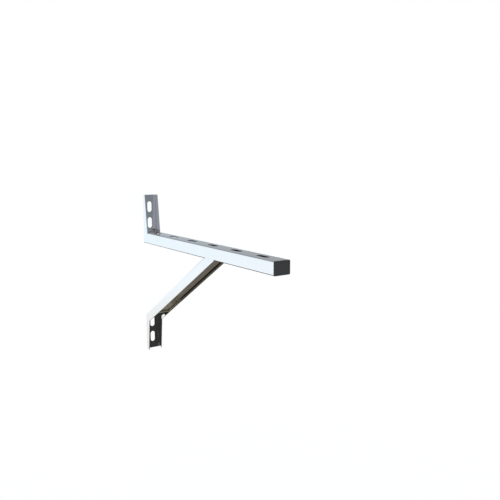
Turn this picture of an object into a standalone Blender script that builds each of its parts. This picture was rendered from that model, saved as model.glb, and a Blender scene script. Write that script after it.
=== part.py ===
"""Wall bracket of polished stainless steel: a slotted arm of rectangular tube, an upper leg folded from
sheet that stands on the arm's root, and a brace whose channel folds over into a lower leg.

Metres, +Z up. The wall is the plane Y = 0, the arm points along -Y, and X = 0 is the bracket's middle plane.
The origin is on the wall, level with the top of the arm.
"""
from math import atan2, cos, pi, sin, sqrt

import bmesh
import bpy
from mathutils import Matrix, Vector

# Sheet, and the clearance left where two pieces meet
SHEET = 0.002
GAP = 0.0003

# Arm: rectangular tube
WIDTH = 0.040
ARM_HEIGHT = 0.030
ARM_REACH = 0.615
TUBE_WALL = 0.002
TUBE_RADIUS = 0.0025

# Slots, of one width in the arm and in both legs
SLOT_WIDTH = 0.013
ARM_SLOT_LENGTH = 0.038
ARM_SLOTS = 6
ARM_SLOT_PITCH = 0.100
ARM_SLOT_FIRST = 0.050
LEG_SLOT_LENGTH = 0.030
LEG_SLOTS = 2
LEG_SLOT_PITCH = 0.045
LEG_SLOT_END = 0.034

# Legs: channels against the wall, with flanges that taper to the free end. The upper one ends in two prongs
# behind the arm, which leave the tube's bore open between them
UPPER_LENGTH = 0.105
UPPER_FLANGE_FOOT = 0.026
UPPER_FLANGE_END = 0.014
UPPER_FOLD_RADIUS = 0.004
PRONG_WIDTH = 0.006
LOWER_LENGTH = 0.105
LOWER_FLANGE_FOLD = 0.026
LOWER_FLANGE_END = 0.018

# Brace: a channel from under the arm to the fold at the wall
BRACE_REACH = 0.333
BRACE_DROP = 0.236
BRACE_DEPTH = 0.028
BRACE_FOLD_RADIUS = 0.006

# End cap of the arm
CAP_PLATE = 0.002
CAP_EDGE = 0.0006
CAP_RIM = 0.0026
CAP_RECESS = 0.0005
PLUG_DEPTH = 0.012
PLUG_WALL = 0.0016
PLUG_FIT = 0.0008
FINS = 3
FIN_THICKNESS = 0.001

# Weld beads in the inside corners
BEAD_LEG = 0.003
BEAD_BULGE = 0.0004
BEAD_INSET = 0.001

# Fineness of the round edges
FOLD_SEGMENTS = 5
CORNER_STEPS = 5
SLOT_STEPS = 12

# Worked out from the sizes above
SIDE = WIDTH / 2
UPPER_FOLD_INSIDE = UPPER_FOLD_RADIUS - SHEET
TUBE_START = SHEET + GAP
TUBE_END = ARM_REACH - CAP_PLATE - GAP
UNDERSIDE = -ARM_HEIGHT
BRACE_TOP = UNDERSIDE - GAP
FOLD_Z = -BRACE_DROP
LOWER_END_Z = FOLD_Z - LOWER_LENGTH
BRACE_ANGLE = atan2(BRACE_DROP - ARM_HEIGHT, BRACE_REACH)
BRACE_UP = Vector((0, -cos(BRACE_ANGLE), sin(BRACE_ANGLE)))
BRACE_OUT = Vector((0, -sin(BRACE_ANGLE), -cos(BRACE_ANGLE)))

# Seen as a section: the object's X and Y become X and Z of the part, and what is extruded runs along Y
ALONG_Y = Matrix.Rotation(pi / 2, 4, "X")


def clear_scene():
    """Removes the objects and collections that a new file holds."""
    for old in list(bpy.data.objects):
        bpy.data.objects.remove(old, do_unlink=True)
    for old in list(bpy.data.collections):
        bpy.data.collections.remove(old)


def new_collection(name):
    made = bpy.data.collections.new(name)
    bpy.context.scene.collection.children.link(made)
    return made


def new_material(name, color, roughness, metallic):
    """A plain Principled material."""
    made = bpy.data.materials.new(name)
    made.use_nodes = True
    shader = made.node_tree.nodes["Principled BSDF"]
    shader.inputs["Base Color"].default_value = (*color, 1)
    shader.inputs["Roughness"].default_value = roughness
    shader.inputs["Metallic"].default_value = metallic
    return made


def arc(centre_x, centre_y, radius, start, end, steps):
    """Points on an arc, both ends included."""
    angles = [start + (end - start) * step / steps for step in range(steps + 1)]
    return [(centre_x + radius * cos(angle), centre_y + radius * sin(angle)) for angle in angles]


def rounded_rectangle(width, height, radius):
    """A rectangle about the origin with round corners."""
    across = width / 2 - radius
    up = height / 2 - radius
    corners = [(across, up), (-across, up), (-across, -up), (across, -up)]
    points = []
    for index, (x, y) in enumerate(corners):
        start = index * pi / 2
        points += arc(x, y, radius, start, start + pi / 2, CORNER_STEPS)
    return points


def obround(length, width):
    """A slot's outline about the origin, its length along X."""
    reach = (length - width) / 2
    right = arc(reach, 0, width / 2, -pi / 2, pi / 2, SLOT_STEPS)
    left = arc(-reach, 0, width / 2, pi / 2, 3 * pi / 2, SLOT_STEPS)
    return right + left


def prism(name, outlines, depth, placement, collection):
    """A mesh extruded by depth, half each way, from flat outlines. An outline inside another is a hole."""
    curve = bpy.data.curves.new(name, "CURVE")
    curve.dimensions = "2D"
    curve.fill_mode = "BOTH"
    curve.extrude = depth / 2
    for outline in outlines:
        spline = curve.splines.new("POLY")
        spline.points.add(len(outline) - 1)
        for point, (x, y) in zip(spline.points, outline):
            point.co = (x, y, 0, 1)
        spline.use_cyclic_u = True
    drawn = bpy.data.objects.new(name + "_outline", curve)
    bpy.context.scene.collection.objects.link(drawn)
    bpy.context.view_layer.update()
    evaluated = drawn.evaluated_get(bpy.context.evaluated_depsgraph_get())
    mesh = bpy.data.meshes.new_from_object(evaluated)
    bpy.data.objects.remove(drawn, do_unlink=True)
    bpy.data.curves.remove(curve)
    mesh.name = name
    welded = bmesh.new()
    welded.from_mesh(mesh)
    bmesh.ops.remove_doubles(welded, verts=welded.verts, dist=0.000001)
    bmesh.ops.recalc_face_normals(welded, faces=welded.faces)
    welded.to_mesh(mesh)
    welded.free()
    made = bpy.data.objects.new(name, mesh)
    made.matrix_world = placement
    collection.objects.link(made)
    return made


def box(name, low, high, collection):
    """A block between two corners."""
    low, high = Vector(low), Vector(high)
    mesh = bpy.data.meshes.new(name)
    block = bmesh.new()
    place = Matrix.Translation((low + high) / 2) @ Matrix.Diagonal((*(high - low), 1))
    bmesh.ops.create_cube(block, size=1, matrix=place)
    block.to_mesh(mesh)
    block.free()
    made = bpy.data.objects.new(name, mesh)
    collection.objects.link(made)
    return made


def as_cutter(piece):
    """Marks a piece as a tool that isn't part of the bracket."""
    piece.hide_render = True
    piece.display_type = "WIRE"
    return piece


def combine(piece, other, operation):
    """Adds a Boolean modifier to piece."""
    change = piece.modifiers.new(operation.lower() + "_" + other.name, "BOOLEAN")
    change.object = other
    change.operation = operation
    change.solver = "EXACT"


def finish(piece, material):
    """Gives a piece its material, and smooth shading on its round faces."""
    piece.data.materials.clear()
    piece.data.materials.append(material)
    piece.data.shade_smooth()
    piece.data.set_sharp_from_angle(angle=pi / 6)


def folded_channel(name, web_line, free_line, radius, collection):
    """A channel folded from sheet. web_line runs down the outside of its web, as (y, z) points, and
    free_line down the free edges of its two flanges, with a point for each of the web's. radius is that of
    the folds, measured outside."""
    mesh = bpy.data.meshes.new(name)
    sheet = bmesh.new()
    ends = [sheet.verts.new((side * SIDE, *web_line[0])) for side in (-1, 1)]
    edge = sheet.edges.new(ends)
    rails = [[ends[0]], [ends[1]]]
    for y, z in web_line[1:]:
        grown = bmesh.ops.extrude_edge_only(sheet, edges=[edge])["geom"]
        edge = next(item for item in grown if isinstance(item, bmesh.types.BMEdge))
        for vert in edge.verts:
            vert.co.y, vert.co.z = y, z
            rails[vert.co.x > 0].append(vert)
    for rail in rails:
        pairs = list(zip(rail, rail[1:]))
        sides = [next(line for line in pair[0].link_edges if pair[1] in line.verts) for pair in pairs]
        grown = bmesh.ops.extrude_edge_only(sheet, edges=sides)["geom"]
        free = [item for item in grown if isinstance(item, bmesh.types.BMVert)]
        for web_point, (y, z) in zip(web_line, free_line):
            vert = min(free, key=lambda item: (item.co.yz - Vector(web_point)).length)
            free.remove(vert)
            vert.co.y, vert.co.z = y, z
    bmesh.ops.recalc_face_normals(sheet, faces=sheet.faces)
    inside = Vector((0, *free_line[0])) - Vector((0, *web_line[0]))
    web_face = next(face for face in sheet.faces if abs(face.normal.x) < 0.5)
    if web_face.normal.dot(inside) > 0:
        bmesh.ops.reverse_faces(sheet, faces=sheet.faces)
    sheet.to_mesh(mesh)
    sheet.free()
    made = bpy.data.objects.new(name, mesh)
    collection.objects.link(made)
    folds = made.modifiers.new("folds", "BEVEL")
    folds.width = radius
    folds.segments = FOLD_SEGMENTS
    folds.limit_method = "ANGLE"
    folds.angle_limit = pi / 6
    thickness = made.modifiers.new("thickness", "SOLIDIFY")
    thickness.thickness = SHEET
    thickness.offset = -1
    thickness.use_even_offset = True
    return made


def cut_wall_slots(leg, end_z, inward, cutters):
    """Cuts a leg's slots through its web; inward is +1 or -1, from the free end towards the arm."""
    for index in range(LEG_SLOTS):
        z = end_z + inward * (LEG_SLOT_END + index * LEG_SLOT_PITCH)
        place = Matrix.Translation((0, -SHEET / 2, z)) @ ALONG_Y @ Matrix.Rotation(pi / 2, 4, "Z")
        outline = obround(LEG_SLOT_LENGTH, SLOT_WIDTH)
        slot = prism(f"{leg.name}_slot_{index + 1}", [outline], 3 * SHEET, place, cutters)
        combine(leg, as_cutter(slot), "DIFFERENCE")


def make_root_cope(side, cutters):
    """Cuts one corner of the tube's root to fit inside the leg's fold, up to the flange's cut edge."""
    middle = SIDE - UPPER_FOLD_RADIUS
    clear = UPPER_FOLD_INSIDE - GAP
    free = -UPPER_FOLD_RADIUS - GAP
    bend = arc(0, -UPPER_FOLD_RADIUS, clear, pi / 2, 0, CORNER_STEPS)
    points = [(side * (middle + x), y) for x, y in bend]
    points += [(side * (middle + clear), free), (side * WIDTH, free)]
    points += [(side * WIDTH, SHEET), (side * middle, SHEET)]
    name = "arm_root_cope_" + ("left" if side < 0 else "right")
    place = Matrix.Translation((0, 0, -ARM_HEIGHT / 2))
    return as_cutter(prism(name, [points], 2 * ARM_HEIGHT, place, cutters))


def make_arm(parts, cutters, steel):
    """The tube, with a coped root and slots through its top and bottom walls."""
    outer = rounded_rectangle(WIDTH, ARM_HEIGHT, TUBE_RADIUS)
    inner = rounded_rectangle(WIDTH - 2 * TUBE_WALL, ARM_HEIGHT - 2 * TUBE_WALL, TUBE_RADIUS - TUBE_WALL)
    middle = -(TUBE_START + TUBE_END) / 2
    place = Matrix.Translation((0, middle, -ARM_HEIGHT / 2)) @ ALONG_Y
    arm = prism("arm", [outer, inner], TUBE_END - TUBE_START, place, parts)
    for side in (-1, 1):
        combine(arm, make_root_cope(side, cutters), "DIFFERENCE")
    outline = obround(ARM_SLOT_LENGTH, SLOT_WIDTH)
    for index in range(ARM_SLOTS):
        y = -(ARM_SLOT_FIRST + index * ARM_SLOT_PITCH)
        place = Matrix.Translation((0, y, -ARM_HEIGHT / 2)) @ Matrix.Rotation(pi / 2, 4, "Z")
        slot = prism(f"arm_slot_{index + 1}", [outline], 2 * ARM_HEIGHT, place, cutters)
        combine(arm, as_cutter(slot), "DIFFERENCE")
    finish(arm, steel)
    return arm


def make_upper_leg(parts, cutters, steel):
    """The channel above the arm. Below the arm's top its flanges are cut back to the folds, and the web is
    cut out behind the tube's bore, so that a prong is left at each side."""
    foot = (UPPER_FLANGE_END - UPPER_FLANGE_FOOT) / UPPER_LENGTH
    low_flange = UPPER_FLANGE_FOOT - foot * ARM_HEIGHT
    web_line = [(0, UPPER_LENGTH), (0, UNDERSIDE)]
    free_line = [(-UPPER_FLANGE_END, UPPER_LENGTH), (-low_flange, UNDERSIDE)]
    leg = folded_channel("upper_leg", web_line, free_line, UPPER_FOLD_RADIUS, parts)
    low = (-WIDTH, -2 * low_flange, 2 * UNDERSIDE)
    notch = box("upper_leg_notch", low, (WIDTH, -UPPER_FOLD_RADIUS, GAP), cutters)
    combine(leg, as_cutter(notch), "DIFFERENCE")
    open_side = SIDE - PRONG_WIDTH
    low = (-open_side, -WIDTH, 2 * UNDERSIDE)
    window = box("upper_leg_window", low, (open_side, WIDTH, -TUBE_WALL), cutters)
    combine(leg, as_cutter(window), "DIFFERENCE")
    cut_wall_slots(leg, UPPER_LENGTH, -1, cutters)
    finish(leg, steel)
    return leg


def make_brace(parts, cutters, steel):
    """The channel from under the arm to the wall, folded there into the lower leg, its flanges mitred."""
    spare = 2 * BRACE_DEPTH
    fold = Vector((0, 0, FOLD_Z))
    top = fold + BRACE_UP * ((BRACE_DROP - ARM_HEIGHT) / sin(BRACE_ANGLE) + spare)
    free_top = top + BRACE_OUT * BRACE_DEPTH
    to_mitre = (LOWER_FLANGE_FOLD - BRACE_DEPTH * sin(BRACE_ANGLE)) / cos(BRACE_ANGLE)
    mitre = fold + BRACE_OUT * BRACE_DEPTH + BRACE_UP * to_mitre
    web_line = [top.yz, fold.yz, (0, LOWER_END_Z)]
    free_line = [free_top.yz, mitre.yz, (-LOWER_FLANGE_END, LOWER_END_Z)]
    brace = folded_channel("brace", web_line, free_line, BRACE_FOLD_RADIUS, parts)
    low = (-WIDTH, 2 * top.y, BRACE_TOP)
    trim = box("brace_end_trim", low, (WIDTH, WIDTH, WIDTH), cutters)
    combine(brace, as_cutter(trim), "DIFFERENCE")
    cut_wall_slots(brace, LOWER_END_Z, 1, cutters)
    finish(brace, steel)
    return brace


def make_end_cap(parts, cutters, plastic):
    """A moulded cap: a plate over the tube's end with a shallow recess, on a hollow finned plug."""
    def place(y):
        return Matrix.Translation((0, -y, -ARM_HEIGHT / 2)) @ ALONG_Y

    plate = rounded_rectangle(WIDTH, ARM_HEIGHT, TUBE_RADIUS)
    cap = prism("end_cap", [plate], CAP_PLATE, place(ARM_REACH - CAP_PLATE / 2), parts)
    rim = cap.modifiers.new("edge", "BEVEL")
    rim.width = CAP_EDGE
    rim.segments = 2
    rim.limit_method = "ANGLE"
    rim.angle_limit = pi / 3
    panel = rounded_rectangle(WIDTH - 2 * CAP_RIM, ARM_HEIGHT - 2 * CAP_RIM, TUBE_RADIUS - TUBE_WALL)
    recess = prism("end_cap_recess", [panel], 2 * CAP_RECESS, place(ARM_REACH), cutters)
    combine(cap, as_cutter(recess), "DIFFERENCE")
    bore = TUBE_WALL + GAP
    fin_outline = rounded_rectangle(WIDTH - 2 * bore, ARM_HEIGHT - 2 * bore, TUBE_RADIUS - TUBE_WALL)
    core = bore + PLUG_FIT
    plug_outline = rounded_rectangle(WIDTH - 2 * core, ARM_HEIGHT - 2 * core, TUBE_RADIUS - TUBE_WALL)
    hollow = core + PLUG_WALL
    hollow_outline = rounded_rectangle(WIDTH - 2 * hollow, ARM_HEIGHT - 2 * hollow, TUBE_RADIUS - TUBE_WALL)
    back = ARM_REACH - CAP_PLATE
    plug_place = place(back - PLUG_DEPTH / 2 + CAP_PLATE / 4)
    plug_length = PLUG_DEPTH + CAP_PLATE / 2
    plug = prism("end_cap_plug", [plug_outline, hollow_outline], plug_length, plug_place, cutters)
    combine(cap, as_cutter(plug), "UNION")
    for index in range(FINS):
        y = back - (index + 1) * PLUG_DEPTH / (FINS + 1)
        name = f"end_cap_fin_{index + 1}"
        fin = prism(name, [fin_outline, hollow_outline], FIN_THICKNESS, place(y), cutters)
        combine(cap, as_cutter(fin), "UNION")
    finish(cap, plastic)
    return cap


def make_bead(name, corner, first, second, length, parts, steel):
    """A fillet of weld metal, centred on corner, between surfaces that leave it along first and second."""
    corner, first, second = Vector(corner), Vector(first), Vector(second)
    bisector = (first + second).normalized()
    half = first.angle(second) / 2
    across = first - second
    across.normalize()
    run = across.cross(bisector)
    root = GAP / sin(half)
    tip_up = root + BEAD_LEG * cos(half)
    tip_out = BEAD_LEG * sin(half)
    points = [(root, 0)]
    for step in range(CORNER_STEPS + 1):
        share = 2 * step / CORNER_STEPS - 1
        points.append((tip_up + BEAD_BULGE * (1 - share * share), -share * tip_out))
    frame = Matrix((bisector, across, bisector.cross(across))).transposed().to_4x4()
    place = Matrix.Translation(corner) @ frame
    bead = prism(name, [points], length - 2 * BEAD_INSET, place, parts)
    finish(bead, steel)
    return bead


def make_flush_weld(name, side, level, away, span, parts, steel):
    """Weld metal, ground flush outside, in the wedge between a flange's end and the tube's round corner.
    level is the tube's top or underside there, and away is +1 where the tube lies below it."""
    reach = TUBE_RADIUS + GAP
    low = atan2(sqrt(reach * reach - TUBE_RADIUS * TUBE_RADIUS), TUBE_RADIUS)
    round_points = arc(SIDE - TUBE_RADIUS, TUBE_RADIUS, reach, -low, low - pi / 2, CORNER_STEPS)
    section = [(SIDE, 0)] + round_points
    points = [(side * x, -away * y) for x, y in section]
    start, end = span
    place = Matrix.Translation((0, -(start + end) / 2, level)) @ ALONG_Y
    weld = prism(name, [points], end - start, place, parts)
    finish(weld, steel)
    return weld


def make_flush_welds(parts, steel):
    """The outer welds of the leg's foot and of the brace's end."""
    slope = sin(BRACE_ANGLE)
    foot = (UPPER_FOLD_RADIUS + GAP, UPPER_FLANGE_FOOT - BEAD_INSET)
    brace_start = BRACE_REACH + BRACE_FOLD_RADIUS / slope
    brace_end = BRACE_REACH + BRACE_DEPTH / slope - BEAD_INSET
    brace = (brace_start, brace_end)
    for side, label in ((-1, "left"), (1, "right")):
        make_flush_weld(f"flush_weld_leg_{label}", side, 0, 1, foot, parts, steel)
        make_flush_weld(f"flush_weld_brace_{label}", side, UNDERSIDE, -1, brace, parts, steel)


def make_beads(parts, steel):
    """The welds inside the leg's foot and the brace's end."""
    up, down = (0, 0, 1), (0, 0, -1)
    outward, to_wall = (0, -1, 0), (0, 1, 0)
    leg_flat = WIDTH - 2 * UPPER_FOLD_RADIUS
    make_bead("weld_leg_web", (0, -SHEET, 0), up, outward, leg_flat, parts, steel)
    foot_middle = -(UPPER_FOLD_RADIUS + UPPER_FLANGE_FOOT) / 2
    foot_length = UPPER_FLANGE_FOOT - UPPER_FOLD_RADIUS - BEAD_LEG
    rise = BRACE_DEPTH / sin(BRACE_ANGLE)
    fold_rise = BRACE_FOLD_RADIUS / sin(BRACE_ANGLE)
    brace_middle = -(BRACE_REACH + fold_rise / 2 + rise / 2)
    brace_length = rise - 2 * fold_rise
    for side, label in ((-1, "left"), (1, "right")):
        inner = side * (SIDE - SHEET)
        inward = (-side, 0, 0)
        make_bead(f"weld_leg_{label}", (inner, foot_middle, 0), up, inward, foot_length, parts, steel)
        corner = (inner, brace_middle, UNDERSIDE)
        make_bead(f"weld_brace_{label}", corner, down, inward, brace_length, parts, steel)
    web_foot = (0, -BRACE_REACH, UNDERSIDE)
    brace_flat = WIDTH - 2 * BRACE_FOLD_RADIUS
    make_bead("weld_brace_web", web_foot, to_wall, -BRACE_UP, brace_flat, parts, steel)


def main():
    clear_scene()
    parts = new_collection("wall_bracket")
    cutters = new_collection("cutters")
    steel = new_material("polished_steel", (0.62, 0.62, 0.61), 0.12, 1)
    leg_steel = new_material("polished_steel_leg", (0.60, 0.60, 0.60), 0.12, 1)
    brace_steel = new_material("polished_steel_brace", (0.61, 0.60, 0.59), 0.12, 1)
    weld_steel = new_material("weld_steel", (0.50, 0.49, 0.47), 0.35, 1)
    plastic = new_material("cap_plastic", (0.035, 0.038, 0.042), 0.45, 0)
    make_arm(parts, cutters, steel)
    make_end_cap(parts, cutters, plastic)
    make_upper_leg(parts, cutters, leg_steel)
    make_brace(parts, cutters, brace_steel)
    make_beads(parts, weld_steel)
    make_flush_welds(parts, steel)


main()
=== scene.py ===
"""Looks of the wall bracket: mirror-polished steel with punched slots, ground and open welds and a
moulded end cap, in a plain white studio.

Metres, +Z up. The wall is the plane Y = 0, the arm points along -Y and X = 0 is the bracket's middle plane.
"""
from math import atan2, cos, pi, radians, sin, sqrt

import bmesh
import bpy
from mathutils import Matrix, Vector


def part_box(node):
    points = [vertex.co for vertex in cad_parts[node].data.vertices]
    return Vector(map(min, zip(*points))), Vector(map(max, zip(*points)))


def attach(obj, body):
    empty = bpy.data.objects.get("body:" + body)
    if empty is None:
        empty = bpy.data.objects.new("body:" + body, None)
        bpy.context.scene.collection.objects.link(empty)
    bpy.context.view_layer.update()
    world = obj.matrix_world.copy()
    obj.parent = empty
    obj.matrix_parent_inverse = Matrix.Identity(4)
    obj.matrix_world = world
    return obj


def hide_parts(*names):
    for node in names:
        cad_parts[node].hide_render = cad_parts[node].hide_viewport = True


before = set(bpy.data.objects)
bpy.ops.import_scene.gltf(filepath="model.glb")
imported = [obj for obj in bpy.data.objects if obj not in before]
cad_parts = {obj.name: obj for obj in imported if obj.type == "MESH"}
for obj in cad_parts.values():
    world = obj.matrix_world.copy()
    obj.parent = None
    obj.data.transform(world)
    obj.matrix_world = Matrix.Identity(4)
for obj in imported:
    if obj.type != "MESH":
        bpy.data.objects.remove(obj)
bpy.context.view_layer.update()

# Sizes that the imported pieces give
ARM_LOW, ARM_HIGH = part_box("arm")
CAP_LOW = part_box("end_cap")[0]
LEG_LOW, LEG_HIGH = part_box("upper_leg")
BRACE_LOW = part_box("brace")[0]
WIDTH = ARM_HIGH.x - ARM_LOW.x
SIDE = WIDTH / 2
ARM_HEIGHT = ARM_HIGH.z - ARM_LOW.z
UNDERSIDE = -ARM_HEIGHT
ARM_REACH = -CAP_LOW.y
UPPER_LENGTH = LEG_HIGH.z
UPPER_FLANGE_FOOT = -LEG_LOW.y
LOWER_END_Z = BRACE_LOW.z

# Sheet and tube
SHEET = 0.002
UPPER_FOLD_RADIUS = 0.004
BRACE_FOLD_RADIUS = 0.006
TUBE_WALL = 0.002
TUBE_RADIUS = 0.0025
TUBE_START = -ARM_HIGH.y
TUBE_END = -ARM_LOW.y
SEAM = 0.00004
EDGE_BREAK = 0.00025

# Slots
SLOT_WIDTH = 0.013
ARM_SLOT_LENGTH = 0.038
ARM_SLOTS = 6
ARM_SLOT_PITCH = 0.100
ARM_SLOT_FIRST = 0.050
LEG_SLOT_LENGTH = 0.030
LEG_SLOTS = 2
LEG_SLOT_PITCH = 0.045
LEG_SLOT_END = 0.034

# Legs and brace
UPPER_FLANGE_END = 0.014
PRONG_WIDTH = 0.006
LOWER_LENGTH = 0.105
LOWER_FLANGE_FOLD = 0.026
LOWER_FLANGE_END = 0.018
BRACE_DEPTH = 0.028
BRACE_REACH = 0.333
FOLD_Z = LOWER_END_Z + LOWER_LENGTH
BRACE_ANGLE = atan2(-FOLD_Z - ARM_HEIGHT, BRACE_REACH)
BRACE_UP = Vector((0, -cos(BRACE_ANGLE), sin(BRACE_ANGLE)))
BRACE_OUT = Vector((0, -sin(BRACE_ANGLE), -cos(BRACE_ANGLE)))

# End cap
CAP_PLATE = 0.002
CAP_EDGE = 0.0006
CAP_RIM = 0.0026
CAP_RECESS = 0.0005
PLUG_DEPTH = 0.012
PLUG_WALL = 0.0016
PLUG_FIT = 0.0008
FINS = 3
FIN_THICKNESS = 0.001

# Weld beads: the fillet, its ripples, its blunt ends and the fineness of its mesh
BEAD_LEG = 0.003
BEAD_RISE = 0.96
BEAD_CROWN = 0.0004
BEAD_LIFT = 0.0001
BEAD_RIPPLE = 0.00012
BEAD_RIPPLE_PITCH = 0.0012
BEAD_RIPPLE_LAG = 0.5
BEAD_INSET = 0.001
BEAD_END_BLUNTNESS = 8
BEAD_END_WIDTH = 0.35
BEAD_ACROSS = 14
BEAD_STEPS_PER_RIPPLE = 8

# Fineness of the round edges
FOLD_SEGMENTS = 16
CORNER_STEPS = 12
SLOT_STEPS = 28
EDGE_BREAK_SEGMENTS = 2

# Angles from which an edge counts as a fold, as cut or as sharp, and below which faces count as one plane
FOLD_ANGLE = pi / 6
CUT_ANGLE = pi / 4
SHARP_ANGLE = pi / 5
PLANE_ANGLE = radians(0.05)

# How close two points are one, and how much more a large flat face counts than its rounded edges
SAME_POINT = 0.000001
FLAT_FACE_WEIGHT = 100

# Seen as a section: the object's X and Y become X and Z of the part, and what is extruded runs along Y
ALONG_Y = Matrix.Rotation(pi / 2, 4, "X")

# The camera, as fitted to the photograph
CAMERA_PLACE = (-0.67502, -1.48243, 0.18106)
CAMERA_YAW = radians(34.57)
CAMERA_PITCH = radians(-8.308)
CAMERA_LENS = 40.75
CAMERA_SENSOR = 36

# The floor, and how it looks to the camera, a little over white so that only the shadow shows
FLOOR_Z = -1.0
FLOOR_SIZE = 60
FLOOR_TONE = 0.8
FLOOR_SEEN = 1.25

# The world's light on what is not metal, and what the steel mirrors: where the backdrop and the window's side
# pass into the room, by horizontal direction, and where the ground starts, by height
PLAIN_LIGHT = 0.9
BACKDROP_BLEND = 0.2
WINDOW_FULL = -0.5
WINDOW_NONE = 0.2
GROUND_NONE = 0.3
GROUND_FULL = 0.24
GROUND_PATCH_SCALE = 45
GROUND_DARKEST = 0.35
GROUND_LIGHTEST = 1.65

# Scales of the materials' patterns, per metre, the heights of their relief, and the roughness of crisp noise
CLOUD_SCALE = 26
SMEAR_SCALE = 110
WAVE_SCALE = 17
TOOL_MARK_SCALE = 2600
HEAT_TINT_SCALE = 420
BEAD_GRAIN_SCALE = 3000
MOULD_GRAIN_SCALE = 2400
MOULD_PATCH_SCALE = 90
POLISH_LINE_HEIGHT = 0.000002
TOOL_MARK_HEIGHT = 0.00003
BEAD_GRAIN_HEIGHT = 0.00002
MOULD_GRAIN_HEIGHT = 0.00004
CRISP = 0.6

# Colours, roughnesses, the heights of the sheet's slow waves and the scales of the polish lines on each axis
STEEL_COLOR = (0.78, 0.78, 0.78)
BORE_COLOR = (0.76, 0.76, 0.77)
CAP_COLOR = (0.048, 0.052, 0.054)
HEAT_TINTS = [(0.3, (0.4, 0.42, 0.5)), (0.5, (0.5, 0.51, 0.56)), (0.72, (0.52, 0.49, 0.46))]
POLISHED = 0.028
BRIGHT_DRAWN = 0.1
FLAT_WAVINESS = 0.00003
BENT_WAVINESS = 0.00006
ARM_GRAIN = (900, 25, 900)
BORE_GRAIN = (700, 18, 700)
LEG_GRAIN = (900, 900, 25)
BRACE_GRAIN = (900, 40, 60)


# Meshes

def arc(centre_x, centre_y, radius, start, end, steps):
    """Points on an arc, both ends included."""
    angles = [start + (end - start) * step / steps for step in range(steps + 1)]
    return [(centre_x + radius * cos(angle), centre_y + radius * sin(angle)) for angle in angles]


def rounded_rectangle(width, height, radius):
    """A rectangle about the origin with round corners."""
    across = width / 2 - radius
    up = height / 2 - radius
    corners = [(across, up), (-across, up), (-across, -up), (across, -up)]
    points = []
    for index, (x, y) in enumerate(corners):
        start = index * pi / 2
        points += arc(x, y, radius, start, start + pi / 2, CORNER_STEPS)
    return points


def obround(length, width):
    """A slot's outline about the origin, its length along X."""
    reach = (length - width) / 2
    right = arc(reach, 0, width / 2, -pi / 2, pi / 2, SLOT_STEPS)
    left = arc(-reach, 0, width / 2, pi / 2, 3 * pi / 2, SLOT_STEPS)
    return right + left


def new_object(name, data):
    made = bpy.data.objects.new(name, data)
    bpy.context.scene.collection.objects.link(made)
    return made


def prism(name, outlines, depth, placement):
    """A mesh extruded by depth, half to each side, from flat outlines; one inside another is a hole."""
    curve = bpy.data.curves.new(name, "CURVE")
    curve.dimensions = "2D"
    curve.fill_mode = "BOTH"
    curve.extrude = depth / 2
    for outline in outlines:
        spline = curve.splines.new("POLY")
        spline.points.add(len(outline) - 1)
        for point, (x, y) in zip(spline.points, outline):
            point.co = (x, y, 0, 1)
        spline.use_cyclic_u = True
    drawn = new_object(name + "_outline", curve)
    bpy.context.view_layer.update()
    evaluated = drawn.evaluated_get(bpy.context.evaluated_depsgraph_get())
    mesh = bpy.data.meshes.new_from_object(evaluated)
    bpy.data.objects.remove(drawn, do_unlink=True)
    bpy.data.curves.remove(curve)
    mesh.name = name
    mesh.transform(placement)
    welded = bmesh.new()
    welded.from_mesh(mesh)
    bmesh.ops.remove_doubles(welded, verts=welded.verts, dist=SAME_POINT)
    bmesh.ops.dissolve_limit(welded, angle_limit=PLANE_ANGLE, verts=welded.verts, edges=welded.edges)
    bmesh.ops.recalc_face_normals(welded, faces=welded.faces)
    welded.to_mesh(mesh)
    welded.free()
    return new_object(name, mesh)


def box(name, low, high):
    """A block between two corners."""
    low, high = Vector(low), Vector(high)
    mesh = bpy.data.meshes.new(name)
    block = bmesh.new()
    place = Matrix.Translation((low + high) / 2) @ Matrix.Diagonal((*(high - low), 1))
    bmesh.ops.create_cube(block, size=1, matrix=place)
    block.to_mesh(mesh)
    block.free()
    return new_object(name, mesh)


def settle(piece):
    """Makes a piece's modifiers part of its mesh."""
    bpy.context.view_layer.update()
    evaluated = piece.evaluated_get(bpy.context.evaluated_depsgraph_get())
    old = piece.data
    piece.data = bpy.data.meshes.new_from_object(evaluated)
    piece.modifiers.clear()
    bpy.data.meshes.remove(old)
    piece.data.name = piece.name
    return piece


def combine(piece, cutter, operation="DIFFERENCE"):
    """Cuts a piece by another or joins them, keeping the other's material on the faces that it leaves."""
    change = piece.modifiers.new("combine", "BOOLEAN")
    change.object = cutter
    change.operation = operation
    change.solver = "EXACT"
    change.material_mode = "TRANSFER"
    settle(piece)
    bpy.data.objects.remove(cutter, do_unlink=True)


def give(piece, material):
    """Makes material the only one of a piece."""
    piece.data.materials.clear()
    piece.data.materials.append(material)
    return piece


def break_edges(piece, width=EDGE_BREAK):
    """Takes the sharpness off a piece's cut edges."""
    edges = piece.modifiers.new("edge_break", "BEVEL")
    edges.width = width
    edges.segments = EDGE_BREAK_SEGMENTS
    edges.limit_method = "ANGLE"
    edges.angle_limit = CUT_ANGLE
    edges.use_clamp_overlap = True
    return settle(piece)


def smooth(piece):
    """Shades round faces smooth, with flat faces kept truly flat."""
    piece.data.shade_smooth()
    piece.data.set_sharp_from_angle(angle=SHARP_ANGLE)
    flat = piece.modifiers.new("flat_faces", "WEIGHTED_NORMAL")
    flat.mode = "FACE_AREA"
    flat.weight = FLAT_FACE_WEIGHT
    flat.keep_sharp = True
    return settle(piece)


def dress(piece, node):
    """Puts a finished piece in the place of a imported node."""
    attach(piece, "root")
    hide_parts(node)
    return piece


# Materials

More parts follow.
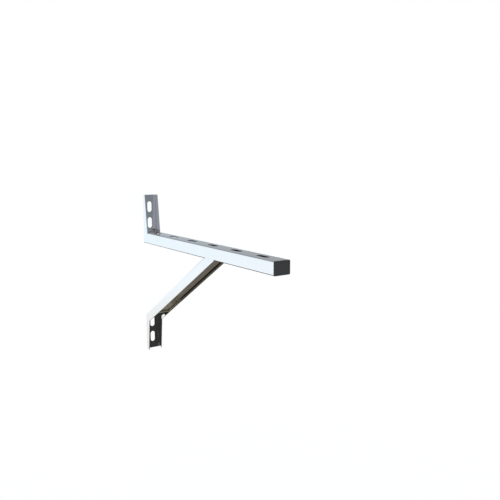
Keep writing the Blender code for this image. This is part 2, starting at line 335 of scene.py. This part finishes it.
def add(tree, kind, inputs=(), **settings):
    """Adds a node with its settings; inputs holds pairs of a socket and what it takes."""
    made = tree.nodes.new(kind)
    for name, value in settings.items():
        setattr(made, name, value)
    for socket, value in inputs:
        join(tree, made.inputs[socket], value)
    return made


def join(tree, socket, value):
    """Links an output to a socket, or sets the socket to a value."""
    if isinstance(value, bpy.types.NodeSocket):
        tree.links.new(value, socket)
    else:
        socket.default_value = value


def maths(tree, operation, *values):
    return add(tree, "ShaderNodeMath", list(enumerate(values)), operation=operation).outputs[0]


def blend_colors(tree, share, first, second):
    """Mixes two colours by the share of the second."""
    made = add(tree, "ShaderNodeMix", [(0, share), (6, first), (7, second)], data_type="RGBA")
    return made.outputs[2]


def scale_color(tree, color, share):
    made = add(tree, "ShaderNodeVectorMath", [(0, color), ("Scale", share)], operation="SCALE")
    return made.outputs[0]


def grey(level):
    return (level, level, level, 1)


def ramp(tree, value, stops):
    """A colour ramp; stops holds pairs of a position and a colour or a grey level."""
    made = add(tree, "ShaderNodeValToRGB", [(0, value)])
    elements = made.color_ramp.elements
    elements.remove(elements[1])
    for index, (position, color) in enumerate(stops):
        element = elements[0] if index == 0 else elements.new(position)
        element.position = position
        element.color = grey(color) if isinstance(color, (int, float)) else (*color, 1)
    return made.outputs["Color"]


def spread(tree, value, low, high):
    """Takes a value between 0 and 1 to the range from low to high."""
    return add(tree, "ShaderNodeMapRange", [(0, value), (3, low), (4, high)]).outputs[0]


def noise(tree, place, scale, detail=3, roughness=0.5):
    inputs = [("Vector", place), ("Scale", scale), ("Detail", detail), ("Roughness", roughness)]
    return add(tree, "ShaderNodeTexNoise", inputs).outputs["Fac"]


def stretched(tree, place, scale):
    return add(tree, "ShaderNodeMapping", [("Vector", place), ("Scale", scale)]).outputs["Vector"]


def add_relief(tree, shader, strength, height, pattern):
    """Gives a surface fine relief, with the pattern's white at height over its black."""
    bump = add(tree, "ShaderNodeBump", [("Strength", strength), ("Distance", height), ("Height", pattern)])
    join(tree, shader.inputs["Normal"], bump.outputs[0])


def new_material(name):
    made = bpy.data.materials.new(name)
    made.use_nodes = True
    return made, made.node_tree, made.node_tree.nodes["Principled BSDF"]


def polished_steel(name, color, grain, roughness, waviness):
    """Steel polished to a mirror. grain is the scale of the polish lines, least along the way they run,
    roughness the surface's own on the whole, and waviness the height of the sheet's slow waves."""
    made, tree, shader = new_material(name)
    place = add(tree, "ShaderNodeTexCoord").outputs["Object"]
    lines = noise(tree, stretched(tree, place, grain), 1, 4, CRISP)
    clouds = noise(tree, place, CLOUD_SCALE)
    smears = noise(tree, place, SMEAR_SCALE, 4, CRISP)
    shade = scale_color(tree, color, spread(tree, clouds, 0.965, 1.03))
    join(tree, shader.inputs["Base Color"], shade)
    shader.inputs["Metallic"].default_value = 1
    haze = maths(tree, "MULTIPLY", spread(tree, smears, 0.7, 1.3), spread(tree, lines, 0.8, 1.25))
    join(tree, shader.inputs["Roughness"], maths(tree, "MULTIPLY", haze, roughness))
    waves = noise(tree, place, WAVE_SCALE, 1)
    wavy = add(tree, "ShaderNodeBump", [("Strength", 1.0), ("Distance", waviness), ("Height", waves)])
    fine = [("Strength", 0.35), ("Distance", POLISH_LINE_HEIGHT), ("Height", lines)]
    lined = add(tree, "ShaderNodeBump", [*fine, ("Normal", wavy.outputs[0])])
    join(tree, shader.inputs["Normal"], lined.outputs[0])
    return made


def cut_steel(name):
    """A punched or sawn edge: duller, with the marks of the tool across the sheet."""
    made, tree, shader = new_material(name)
    place = add(tree, "ShaderNodeTexCoord").outputs["Object"]
    marks = noise(tree, place, TOOL_MARK_SCALE, 3, CRISP)
    tone = spread(tree, marks, 0.2, 0.38)
    shade = add(tree, "ShaderNodeCombineColor", [(0, tone), (1, tone), (2, tone)]).outputs[0]
    join(tree, shader.inputs["Base Color"], shade)
    shader.inputs["Metallic"].default_value = 1
    join(tree, shader.inputs["Roughness"], spread(tree, marks, 0.25, 0.45))
    add_relief(tree, shader, 0.5, TOOL_MARK_HEIGHT, marks)
    return made


def weld_metal(name):
    """A weld bead as it solidified: satin, with faint blue and straw tints."""
    made, tree, shader = new_material(name)
    place = add(tree, "ShaderNodeTexCoord").outputs["Object"]
    patches = noise(tree, place, HEAT_TINT_SCALE)
    join(tree, shader.inputs["Base Color"], ramp(tree, patches, HEAT_TINTS))
    shader.inputs["Metallic"].default_value = 1
    join(tree, shader.inputs["Roughness"], spread(tree, patches, 0.2, 0.42))
    grain = noise(tree, place, BEAD_GRAIN_SCALE)
    add_relief(tree, shader, 0.4, BEAD_GRAIN_HEIGHT, grain)
    return made


def moulded_plastic(name):
    """The end cap's dark plastic, with a fine spark-eroded grain."""
    made, tree, shader = new_material(name)
    place = add(tree, "ShaderNodeTexCoord").outputs["Object"]
    grain = noise(tree, place, MOULD_GRAIN_SCALE, 3, CRISP)
    patches = noise(tree, place, MOULD_PATCH_SCALE)
    tone = maths(tree, "MULTIPLY", spread(tree, grain, 0.9, 1.1), spread(tree, patches, 0.93, 1.07))
    join(tree, shader.inputs["Base Color"], scale_color(tree, CAP_COLOR, tone))
    join(tree, shader.inputs["Roughness"], spread(tree, grain, 0.42, 0.6))
    add_relief(tree, shader, 0.5, MOULD_GRAIN_HEIGHT, grain)
    return made


ARM_STEEL = polished_steel("arm_polished_steel", STEEL_COLOR, ARM_GRAIN, POLISHED, FLAT_WAVINESS)
BORE_STEEL = polished_steel("tube_inside_steel", BORE_COLOR, BORE_GRAIN, BRIGHT_DRAWN, FLAT_WAVINESS)
LEG_STEEL = polished_steel("leg_polished_steel", STEEL_COLOR, LEG_GRAIN, POLISHED, FLAT_WAVINESS)
BRACE_STEEL = polished_steel("brace_polished_steel", STEEL_COLOR, BRACE_GRAIN, POLISHED, BENT_WAVINESS)
CUT_STEEL = cut_steel("cut_edge_steel")
WELD_METAL = weld_metal("weld_bead_metal")
CAP_PLASTIC = moulded_plastic("end_cap_plastic")


# Pieces

def folded_channel(name, web_line, free_line, radius):
    """A channel folded from sheet. web_line runs down the outside of its web, as (y, z) points, and
    free_line down the free edges of its two flanges, with a point for each of the web's. radius is that of
    the folds, measured outside."""
    mesh = bpy.data.meshes.new(name)
    sheet = bmesh.new()
    ends = [sheet.verts.new((side * SIDE, *web_line[0])) for side in (-1, 1)]
    edge = sheet.edges.new(ends)
    rails = [[ends[0]], [ends[1]]]
    for y, z in web_line[1:]:
        grown = bmesh.ops.extrude_edge_only(sheet, edges=[edge])["geom"]
        edge = next(item for item in grown if isinstance(item, bmesh.types.BMEdge))
        for vert in edge.verts:
            vert.co.y, vert.co.z = y, z
            rails[vert.co.x > 0].append(vert)
    for rail in rails:
        pairs = list(zip(rail, rail[1:]))
        sides = [next(line for line in pair[0].link_edges if pair[1] in line.verts) for pair in pairs]
        grown = bmesh.ops.extrude_edge_only(sheet, edges=sides)["geom"]
        free = [item for item in grown if isinstance(item, bmesh.types.BMVert)]
        for web_point, (y, z) in zip(web_line, free_line):
            vert = min(free, key=lambda item: (item.co.yz - Vector(web_point)).length)
            free.remove(vert)
            vert.co.y, vert.co.z = y, z
    bmesh.ops.recalc_face_normals(sheet, faces=sheet.faces)
    inside = Vector((0, *free_line[0])) - Vector((0, *web_line[0]))
    web_face = next(face for face in sheet.faces if abs(face.normal.x) < 0.5)
    if web_face.normal.dot(inside) > 0:
        bmesh.ops.reverse_faces(sheet, faces=sheet.faces)
    sheet.to_mesh(mesh)
    sheet.free()
    made = new_object(name, mesh)
    folds = made.modifiers.new("folds", "BEVEL")
    folds.width = radius
    folds.segments = FOLD_SEGMENTS
    folds.limit_method = "ANGLE"
    folds.angle_limit = FOLD_ANGLE
    thickness = made.modifiers.new("thickness", "SOLIDIFY")
    thickness.thickness = SHEET
    thickness.offset = -1
    thickness.use_even_offset = True
    return settle(made)


def cut_wall_slots(leg, end_z, inward):
    """Cuts a leg's slots through its web; inward is +1 or -1, from the free end towards the arm."""
    for index in range(LEG_SLOTS):
        z = end_z + inward * (LEG_SLOT_END + index * LEG_SLOT_PITCH)
        place = Matrix.Translation((0, -SHEET / 2, z)) @ ALONG_Y @ Matrix.Rotation(pi / 2, 4, "Z")
        slot = prism("wall_slot", [obround(LEG_SLOT_LENGTH, SLOT_WIDTH)], 3 * SHEET, place)
        combine(leg, give(slot, CUT_STEEL))


def make_root_cope(side):
    """Cuts one corner of the tube's root to fit inside the leg's fold, up to the flange's cut edge."""
    middle = SIDE - UPPER_FOLD_RADIUS
    clear = UPPER_FOLD_RADIUS - SHEET - SEAM
    free = -UPPER_FOLD_RADIUS - SEAM
    bend = arc(0, -UPPER_FOLD_RADIUS, clear, pi / 2, 0, CORNER_STEPS)
    points = [(side * (middle + x), y) for x, y in bend]
    points += [(side * (middle + clear), free), (side * WIDTH, free)]
    points += [(side * WIDTH, SHEET), (side * middle, SHEET)]
    place = Matrix.Translation((0, 0, -ARM_HEIGHT / 2))
    return give(prism("root_cope", [points], 2 * ARM_HEIGHT, place), CUT_STEEL)


def tube_inside(clear):
    """The tube's section moved in by clear from its outside, with the small corners of its bore."""
    return rounded_rectangle(WIDTH - 2 * clear, ARM_HEIGHT - 2 * clear, TUBE_RADIUS - TUBE_WALL)


def make_arm():
    """The tube, bright inside as well, with a coped root and slots through its top and bottom walls."""
    outer = rounded_rectangle(WIDTH, ARM_HEIGHT, TUBE_RADIUS)
    middle = -(TUBE_START + TUBE_END) / 2
    place = Matrix.Translation((0, middle, -ARM_HEIGHT / 2)) @ ALONG_Y
    arm = give(prism("arm_tube", [outer], TUBE_END - TUBE_START, place), ARM_STEEL)
    bore = give(prism("arm_bore", [tube_inside(TUBE_WALL)], 2 * ARM_REACH, place), BORE_STEEL)
    combine(arm, bore)
    for index in range(ARM_SLOTS):
        y = -(ARM_SLOT_FIRST + index * ARM_SLOT_PITCH)
        place = Matrix.Translation((0, y, -ARM_HEIGHT / 2)) @ Matrix.Rotation(pi / 2, 4, "Z")
        slot = prism("arm_slot", [obround(ARM_SLOT_LENGTH, SLOT_WIDTH)], 2 * ARM_HEIGHT, place)
        combine(arm, give(slot, CUT_STEEL))
    break_edges(arm)
    for side in (-1, 1):
        combine(arm, make_root_cope(side))
    return dress(smooth(arm), "arm")


def make_upper_leg():
    """The channel above the arm, with a prong at each side that goes on behind the arm's root."""
    taper = (UPPER_FLANGE_END - UPPER_FLANGE_FOOT) / UPPER_LENGTH
    low_flange = UPPER_FLANGE_FOOT - taper * ARM_HEIGHT
    web_line = [(0, UPPER_LENGTH), (0, UNDERSIDE)]
    free_line = [(-UPPER_FLANGE_END, UPPER_LENGTH), (-low_flange, UNDERSIDE)]
    leg = give(folded_channel("upper_leg_channel", web_line, free_line, UPPER_FOLD_RADIUS), LEG_STEEL)
    cut_wall_slots(leg, UPPER_LENGTH, -1)
    break_edges(leg)
    low = (-WIDTH, -2 * low_flange, 2 * UNDERSIDE)
    notch = box("leg_notch", low, (WIDTH, -UPPER_FOLD_RADIUS, SEAM))
    combine(leg, give(notch, CUT_STEEL))
    open_side = SIDE - PRONG_WIDTH
    low = (-open_side, -WIDTH, 2 * UNDERSIDE)
    window = box("leg_window", low, (open_side, WIDTH, -TUBE_WALL))
    combine(leg, give(window, CUT_STEEL))
    return dress(smooth(leg), "upper_leg")


def make_brace():
    """The channel from under the arm to the wall, folded there into the lower leg."""
    spare = 2 * BRACE_DEPTH
    fold = Vector((0, 0, FOLD_Z))
    top = fold + BRACE_UP * ((-FOLD_Z - ARM_HEIGHT) / sin(BRACE_ANGLE) + spare)
    free_top = top + BRACE_OUT * BRACE_DEPTH
    to_mitre = (LOWER_FLANGE_FOLD - BRACE_DEPTH * sin(BRACE_ANGLE)) / cos(BRACE_ANGLE)
    mitre = fold + BRACE_OUT * BRACE_DEPTH + BRACE_UP * to_mitre
    web_line = [top.yz, fold.yz, (0, LOWER_END_Z)]
    free_line = [free_top.yz, mitre.yz, (-LOWER_FLANGE_END, LOWER_END_Z)]
    brace = give(folded_channel("brace_channel", web_line, free_line, BRACE_FOLD_RADIUS), BRACE_STEEL)
    cut_wall_slots(brace, LOWER_END_Z, 1)
    break_edges(brace)
    trim = box("brace_end_trim", (-WIDTH, 2 * top.y, UNDERSIDE - SEAM), (WIDTH, WIDTH, WIDTH))
    combine(brace, give(trim, CUT_STEEL))
    return dress(smooth(brace), "brace")


def make_end_cap():
    """A moulded cap: a plate over the tube's end with a shallow recess, on a hollow finned plug."""
    def place(y):
        return Matrix.Translation((0, -y, -ARM_HEIGHT / 2)) @ ALONG_Y

    plate = rounded_rectangle(WIDTH, ARM_HEIGHT, TUBE_RADIUS)
    cap = give(prism("arm_end_cap", [plate], CAP_PLATE, place(ARM_REACH - CAP_PLATE / 2)), CAP_PLASTIC)
    break_edges(cap, CAP_EDGE)
    recess = prism("cap_recess", [tube_inside(CAP_RIM)], 2 * CAP_RECESS, place(ARM_REACH))
    combine(cap, give(recess, CAP_PLASTIC))
    fin_outline = tube_inside(TUBE_WALL + SEAM)
    plug_outline = tube_inside(TUBE_WALL + PLUG_FIT)
    hollow_outline = tube_inside(TUBE_WALL + PLUG_FIT + PLUG_WALL)
    back = ARM_REACH - CAP_PLATE
    plug_place = place(back - PLUG_DEPTH / 2 + CAP_PLATE / 4)
    plug = prism("cap_plug", [plug_outline, hollow_outline], PLUG_DEPTH + CAP_PLATE / 2, plug_place)
    combine(cap, give(plug, CAP_PLASTIC), "UNION")
    for index in range(FINS):
        y = back - (index + 1) * PLUG_DEPTH / (FINS + 1)
        fin = prism("cap_fin", [fin_outline, hollow_outline], FIN_THICKNESS, place(y))
        combine(cap, give(fin, CAP_PLASTIC), "UNION")
    return dress(smooth(cap), "end_cap")


def make_flush_weld(name, node, side, level, away, start, end):
    """Weld metal ground flush outside, between a flange's end and the tube's round corner. level is the
    height of the tube's flat face, away is 1 for a flange above it and -1 for one below, and start and end
    are distances from the wall."""
    reach = TUBE_RADIUS + SEAM
    low = atan2(sqrt(reach * reach - TUBE_RADIUS * TUBE_RADIUS), TUBE_RADIUS)
    round_points = arc(SIDE - TUBE_RADIUS, TUBE_RADIUS, reach, -low, low - pi / 2, CORNER_STEPS)
    points = [(side * x, -away * y) for x, y in [(SIDE, 0)] + round_points]
    place = Matrix.Translation((0, -(start + end) / 2, level)) @ ALONG_Y
    weld = give(prism(name, [points], end - start, place), ARM_STEEL)
    return dress(smooth(weld), node)


def make_flush_welds():
    slope = sin(BRACE_ANGLE)
    brace_start = BRACE_REACH + BRACE_FOLD_RADIUS / slope
    brace_end = BRACE_REACH + BRACE_DEPTH / slope - BEAD_INSET
    foot_start = UPPER_FOLD_RADIUS + SEAM
    foot_end = UPPER_FLANGE_FOOT - BEAD_INSET
    for side, label in ((-1, "left"), (1, "right")):
        foot, brace = f"flush_weld_leg_{label}", f"flush_weld_brace_{label}"
        make_flush_weld("ground_" + foot, foot, side, 0, 1, foot_start, foot_end)
        make_flush_weld("ground_" + brace, brace, side, UNDERSIDE, -1, brace_start, brace_end)


def make_bead(node, corner, first, second, length):
    """A rippled fillet of weld metal, centred on corner, between surfaces that leave it along first and
    second."""
    corner, first, second = Vector(corner), Vector(first), Vector(second)
    bisector = (first + second).normalized()
    half = first.angle(second) / 2
    across = (first - second).normalized()
    run = bisector.cross(across)
    tip_up = BEAD_LEG * cos(half)
    tip_out = BEAD_LEG * sin(half)
    reach = length / 2 - BEAD_INSET
    ripples = max(2, round(2 * reach / BEAD_RIPPLE_PITCH))
    stations = ripples * BEAD_STEPS_PER_RIPPLE
    mesh = bpy.data.meshes.new(node)
    bead = bmesh.new()
    rows = []
    for station in range(stations + 1):
        along = 2 * station / stations - 1
        swell = (1 - abs(along) ** BEAD_END_BLUNTNESS) ** 0.5
        row = []
        for step in range(BEAD_ACROSS + 1):
            share = 2 * step / BEAD_ACROSS - 1
            crown = 1 - share * share
            lag = BEAD_RIPPLE_LAG * share * share
            phase = (station / BEAD_STEPS_PER_RIPPLE + lag) % 1
            relief = BEAD_CROWN + BEAD_RIPPLE * (1 - phase) ** 2
            height = swell * (tip_up * BEAD_RISE + crown * relief) + BEAD_LIFT
            side = share * tip_out * (BEAD_END_WIDTH + (1 - BEAD_END_WIDTH) * swell)
            row.append(bead.verts.new(corner + bisector * height + across * side + run * along * reach))
        root = bead.verts.new(corner + bisector * SEAM + run * along * reach)
        row.append(root)
        rows.append(row)
    for near, far in zip(rows, rows[1:]):
        count = len(near)
        for step in range(count):
            following = (step + 1) % count
            bead.faces.new((near[step], near[following], far[following], far[step]))
    bead.faces.new(rows[0])
    bead.faces.new(rows[-1])
    bmesh.ops.recalc_face_normals(bead, faces=bead.faces)
    bead.to_mesh(mesh)
    bead.free()
    made = give(new_object("bead_" + node, mesh), WELD_METAL)
    made.data.shade_smooth()
    return dress(made, node)


def make_beads():
    up, down = (0, 0, 1), (0, 0, -1)
    outward, to_wall = (0, -1, 0), (0, 1, 0)
    make_bead("weld_leg_web", (0, -SHEET, 0), up, outward, WIDTH - 2 * UPPER_FOLD_RADIUS)
    foot_middle = -(UPPER_FOLD_RADIUS + UPPER_FLANGE_FOOT) / 2
    foot_length = UPPER_FLANGE_FOOT - UPPER_FOLD_RADIUS - BEAD_LEG
    rise = BRACE_DEPTH / sin(BRACE_ANGLE)
    fold_rise = BRACE_FOLD_RADIUS / sin(BRACE_ANGLE)
    brace_middle = -(BRACE_REACH + fold_rise / 2 + rise / 2)
    brace_length = rise - 2 * fold_rise
    for side, label in ((-1, "left"), (1, "right")):
        inner = side * (SIDE - SHEET)
        inward = (-side, 0, 0)
        make_bead(f"weld_leg_{label}", (inner, foot_middle, 0), up, inward, foot_length)
        make_bead(f"weld_brace_{label}", (inner, brace_middle, UNDERSIDE), down, inward, brace_length)
    foot = (0, -BRACE_REACH, UNDERSIDE)
    make_bead("weld_brace_web", foot, to_wall, -BRACE_UP, WIDTH - 2 * BRACE_FOLD_RADIUS)


# Studio

def make_camera():
    lens = bpy.data.cameras.new("camera")
    lens.lens = CAMERA_LENS
    lens.sensor_width = CAMERA_SENSOR
    camera = new_object("camera", lens)
    camera.location = CAMERA_PLACE
    camera.rotation_euler = (pi / 2 + CAMERA_PITCH, 0, -CAMERA_YAW)
    bpy.context.scene.camera = camera


def room_before(tree, height, sideways):
    """What stands before the bracket: a dim room over a darker ground, its left side lit by a window."""
    below = (0.03, (0.06, 0.05, 0.035))
    shadow = [(0.29, (0.043, 0.043, 0.04)), (0.38, (0.043, 0.043, 0.04))]
    ceiling = (1, 0.45)
    right_ground = [(0.1, (0.24, 0.2, 0.14)), (0.15, (0.4, 0.36, 0.28)), (0.23, (0.42, 0.38, 0.3))]
    right_wall = [(0.44, (0.205, 0.25, 0.28)), (0.5, (0.26, 0.29, 0.32)), (0.56, (0.36, 0.38, 0.4))]
    right = ramp(tree, height, [below, *right_ground, *shadow, *right_wall, ceiling])
    left_ground = [(0.1, (0.2, 0.17, 0.12)), (0.15, (0.34, 0.3, 0.23)), (0.23, (0.34, 0.31, 0.25))]
    left_wall = [(0.44, (0.44, 0.455, 0.52)), (0.5, (0.45, 0.47, 0.53)), (0.56, (0.42, 0.44, 0.47))]
    left = ramp(tree, height, [below, *left_ground, *shadow, *left_wall, ceiling])
    limits = [(0, sideways), (1, WINDOW_FULL), (2, WINDOW_NONE), (3, 1.0), (4, 0.0)]
    left_share = add(tree, "ShaderNodeMapRange", limits).outputs[0]
    return blend_colors(tree, left_share, right, left)


def room_behind(tree, height):
    """What stands behind the bracket: a white backdrop, sharp at its lower edge, over a dim ground."""
    below = [(0.025, (0.05, 0.045, 0.035)), (0.04, 0.006), (0.112, 0.006)]
    ground = [(0.135, (0.27, 0.24, 0.195)), (0.21, (0.27, 0.24, 0.195))]
    shadow = [(0.235, (0.045, 0.041, 0.034)), (0.325, (0.05, 0.046, 0.04))]
    foot = [(0.34, (1.02, 1.02, 1.01)), (0.36, (1.03, 1.03, 1.02)), (0.4, (1.11, 1.19, 1.25))]
    backdrop = [(0.44, (1.04, 1.17, 1.25)), (0.5, (1.1, 1.16, 1.22))]
    wall = [(0.54, (0.49, 0.54, 0.6)), (0.557, (0.47, 0.53, 0.585)), (0.5825, (0.39, 0.41, 0.435)), (1, 0.38)]
    return ramp(tree, height, [*below, *ground, *shadow, *foot, *backdrop, *wall])


def make_world():
    """A white background to the camera and through clear things, plain light on what is not metal, and in
    the steel the white backdrop where it stands, behind the bracket, with the dim room and ground that the
    photograph shows in it. height runs from 0, straight down, to 1, straight up."""
    world = bpy.data.worlds.new("studio")
    world.use_nodes = True
    bpy.context.scene.world = world
    tree = world.node_tree
    toward = add(tree, "ShaderNodeTexCoord").outputs["Generated"]
    upward = add(tree, "ShaderNodeSeparateXYZ", [(0, toward)]).outputs["Z"]
    height = maths(tree, "MULTIPLY_ADD", upward, 0.5, 0.5)
    flattened = [(0, toward), (1, (1, 1, 0))]
    level = add(tree, "ShaderNodeVectorMath", flattened, operation="MULTIPLY").outputs[0]
    level = add(tree, "ShaderNodeVectorMath", [(0, level)], operation="NORMALIZE").outputs[0]
    parts = add(tree, "ShaderNodeSeparateXYZ", [(0, level)]).outputs
    before = room_before(tree, height, parts["X"])
    behind = room_behind(tree, height)
    limits = [(0, parts["Y"]), (1, -BACKDROP_BLEND), (2, BACKDROP_BLEND)]
    behind_share = add(tree, "ShaderNodeMapRange", limits).outputs[0]
    mirrored = blend_colors(tree, behind_share, before, behind)
    limits = [(0, height), (1, GROUND_NONE), (2, GROUND_FULL)]
    ground_share = add(tree, "ShaderNodeMapRange", limits).outputs[0]
    patches = noise(tree, toward, GROUND_PATCH_SCALE, 2)
    patchy = scale_color(tree, mirrored, spread(tree, patches, GROUND_DARKEST, GROUND_LIGHTEST))
    mirrored = blend_colors(tree, ground_share, mirrored, patchy)
    rays = add(tree, "ShaderNodeLightPath").outputs
    plain = blend_colors(tree, rays["Is Diffuse Ray"], mirrored, grey(PLAIN_LIGHT))
    clear = maths(tree, "MAXIMUM", rays["Is Camera Ray"], rays["Is Transmission Ray"])
    seen = blend_colors(tree, clear, plain, grey(1))
    join(tree, tree.nodes["Background"].inputs["Color"], seen)


def make_floor():
    """A pale floor well below the bracket, white to the camera apart from the soft shadow."""
    mesh = bpy.data.meshes.new("floor")
    plane = bmesh.new()
    bmesh.ops.create_grid(plane, x_segments=1, y_segments=1, size=FLOOR_SIZE / 2)
    plane.to_mesh(mesh)
    plane.free()
    floor = new_object("floor", mesh)
    floor.location = (0, 0, FLOOR_Z)
    made, tree, shader = new_material("pale_floor")
    rays = add(tree, "ShaderNodeLightPath").outputs
    clear = maths(tree, "MAXIMUM", rays["Is Camera Ray"], rays["Is Transmission Ray"])
    tone = blend_colors(tree, clear, grey(FLOOR_TONE), grey(FLOOR_SEEN))
    paper = add(tree, "ShaderNodeBsdfDiffuse", [("Color", tone)])
    tree.nodes.remove(shader)
    join(tree, tree.nodes["Material Output"].inputs["Surface"], paper.outputs[0])
    floor.data.materials.append(made)
    floor.visible_glossy = False


def main():
    bpy.context.scene.view_settings.view_transform = "Standard"
    make_camera()
    make_world()
    make_floor()
    make_arm()
    make_upper_leg()
    make_brace()
    make_end_cap()
    make_flush_welds()
    make_beads()


main()
